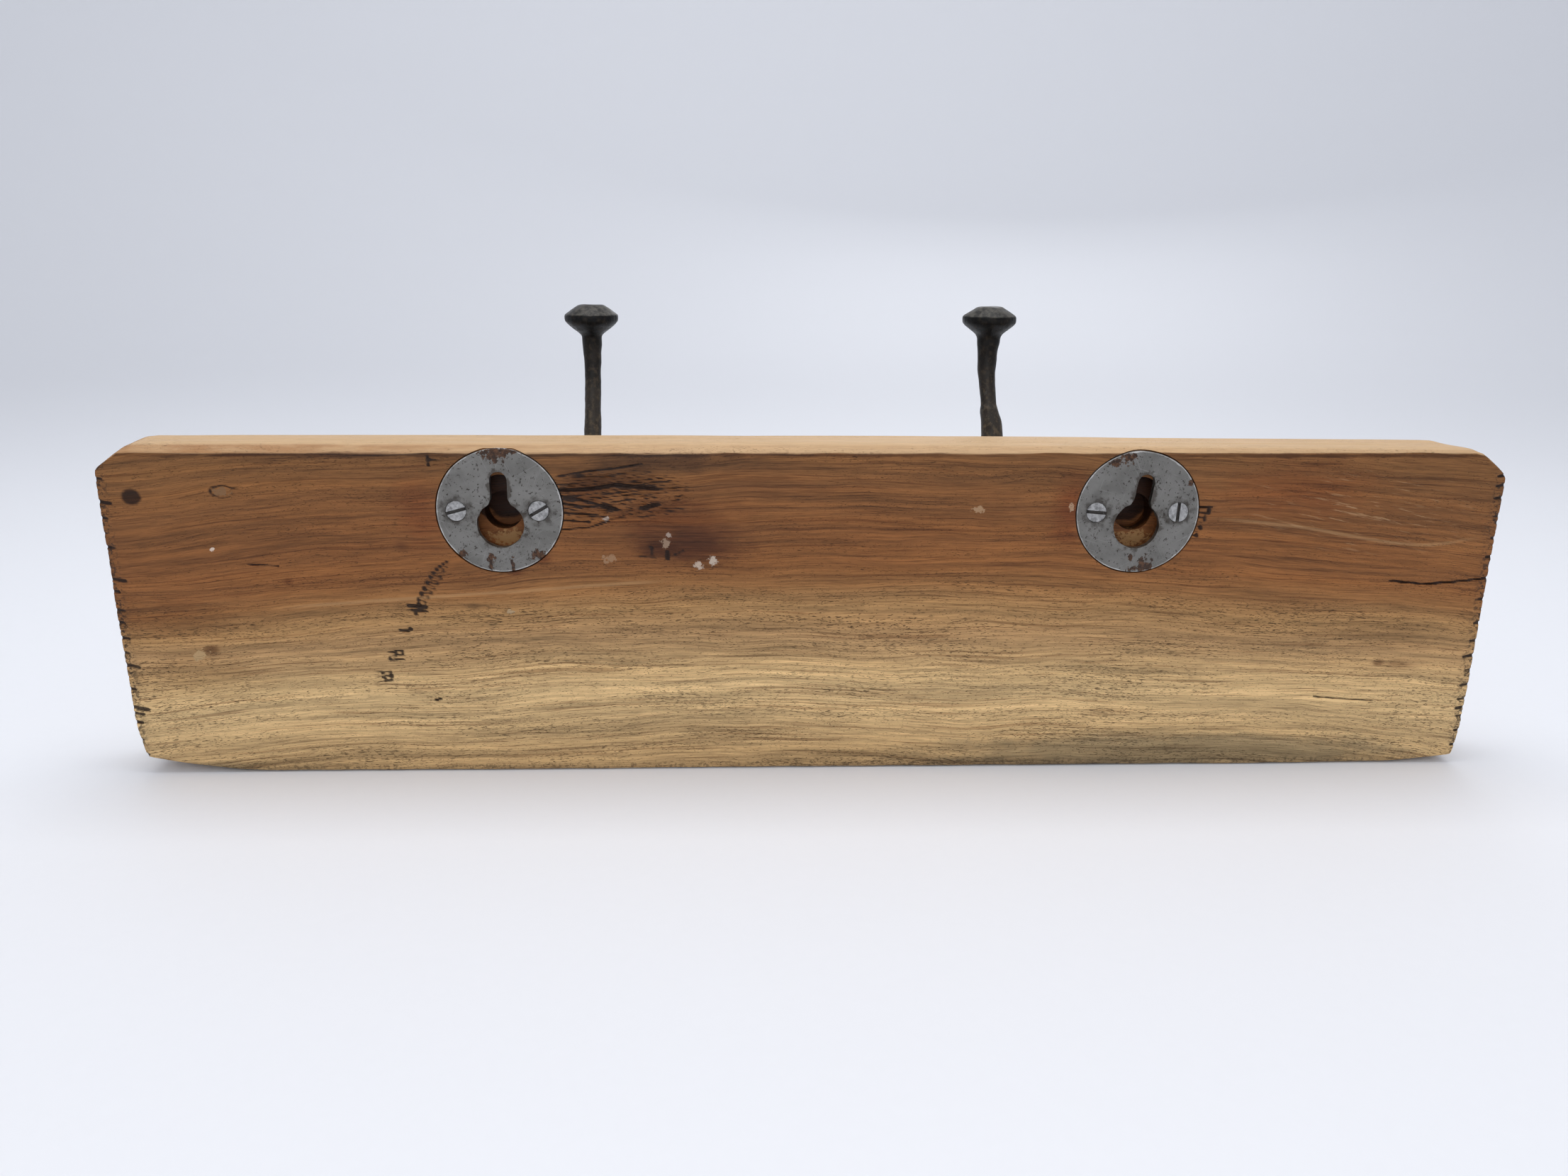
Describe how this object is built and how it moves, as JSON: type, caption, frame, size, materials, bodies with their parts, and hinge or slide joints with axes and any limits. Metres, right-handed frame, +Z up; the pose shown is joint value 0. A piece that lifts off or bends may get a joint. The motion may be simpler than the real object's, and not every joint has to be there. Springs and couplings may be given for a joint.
{
  "type": "wall hook rack",
  "caption": "Reclaimed hardwood wall rack with forged iron hat-and-coat hooks on its front and round steel keyhole hanging plates let into its back.",
  "frame": {"origin": "centre of the board's back face, the face that lies against the wall", "axes": "+Y out of the back face to the wall, -Y to the room, +X to the right seen from the room, +Z up"},
  "size_m": [0.43, 0.063, 0.1451],
  "materials": {
    "reclaimed_wood": "satin",
    "forged_iron": "satin",
    "plate_steel": "satin",
    "screw_steel": "satin",
    "blackened_screw": "satin"
  },
  "bodies": {
    "root": {"board": "reclaimed_wood", "keyhole_plate_left": "plate_steel", "keyhole_plate_right": "plate_steel", "hook_left": "forged_iron", "hook_right": "forged_iron", "plate_screw_left_outer": "screw_steel", "hook_screw_left_outer": "blackened_screw", "plate_screw_left_inner": "screw_steel", "hook_screw_left_inner": "blackened_screw", "plate_screw_right_outer": "screw_steel", "hook_screw_right_outer": "blackened_screw", "plate_screw_right_inner": "screw_steel", "hook_screw_right_inner": "blackened_screw"}
  },
  "joints": []
}
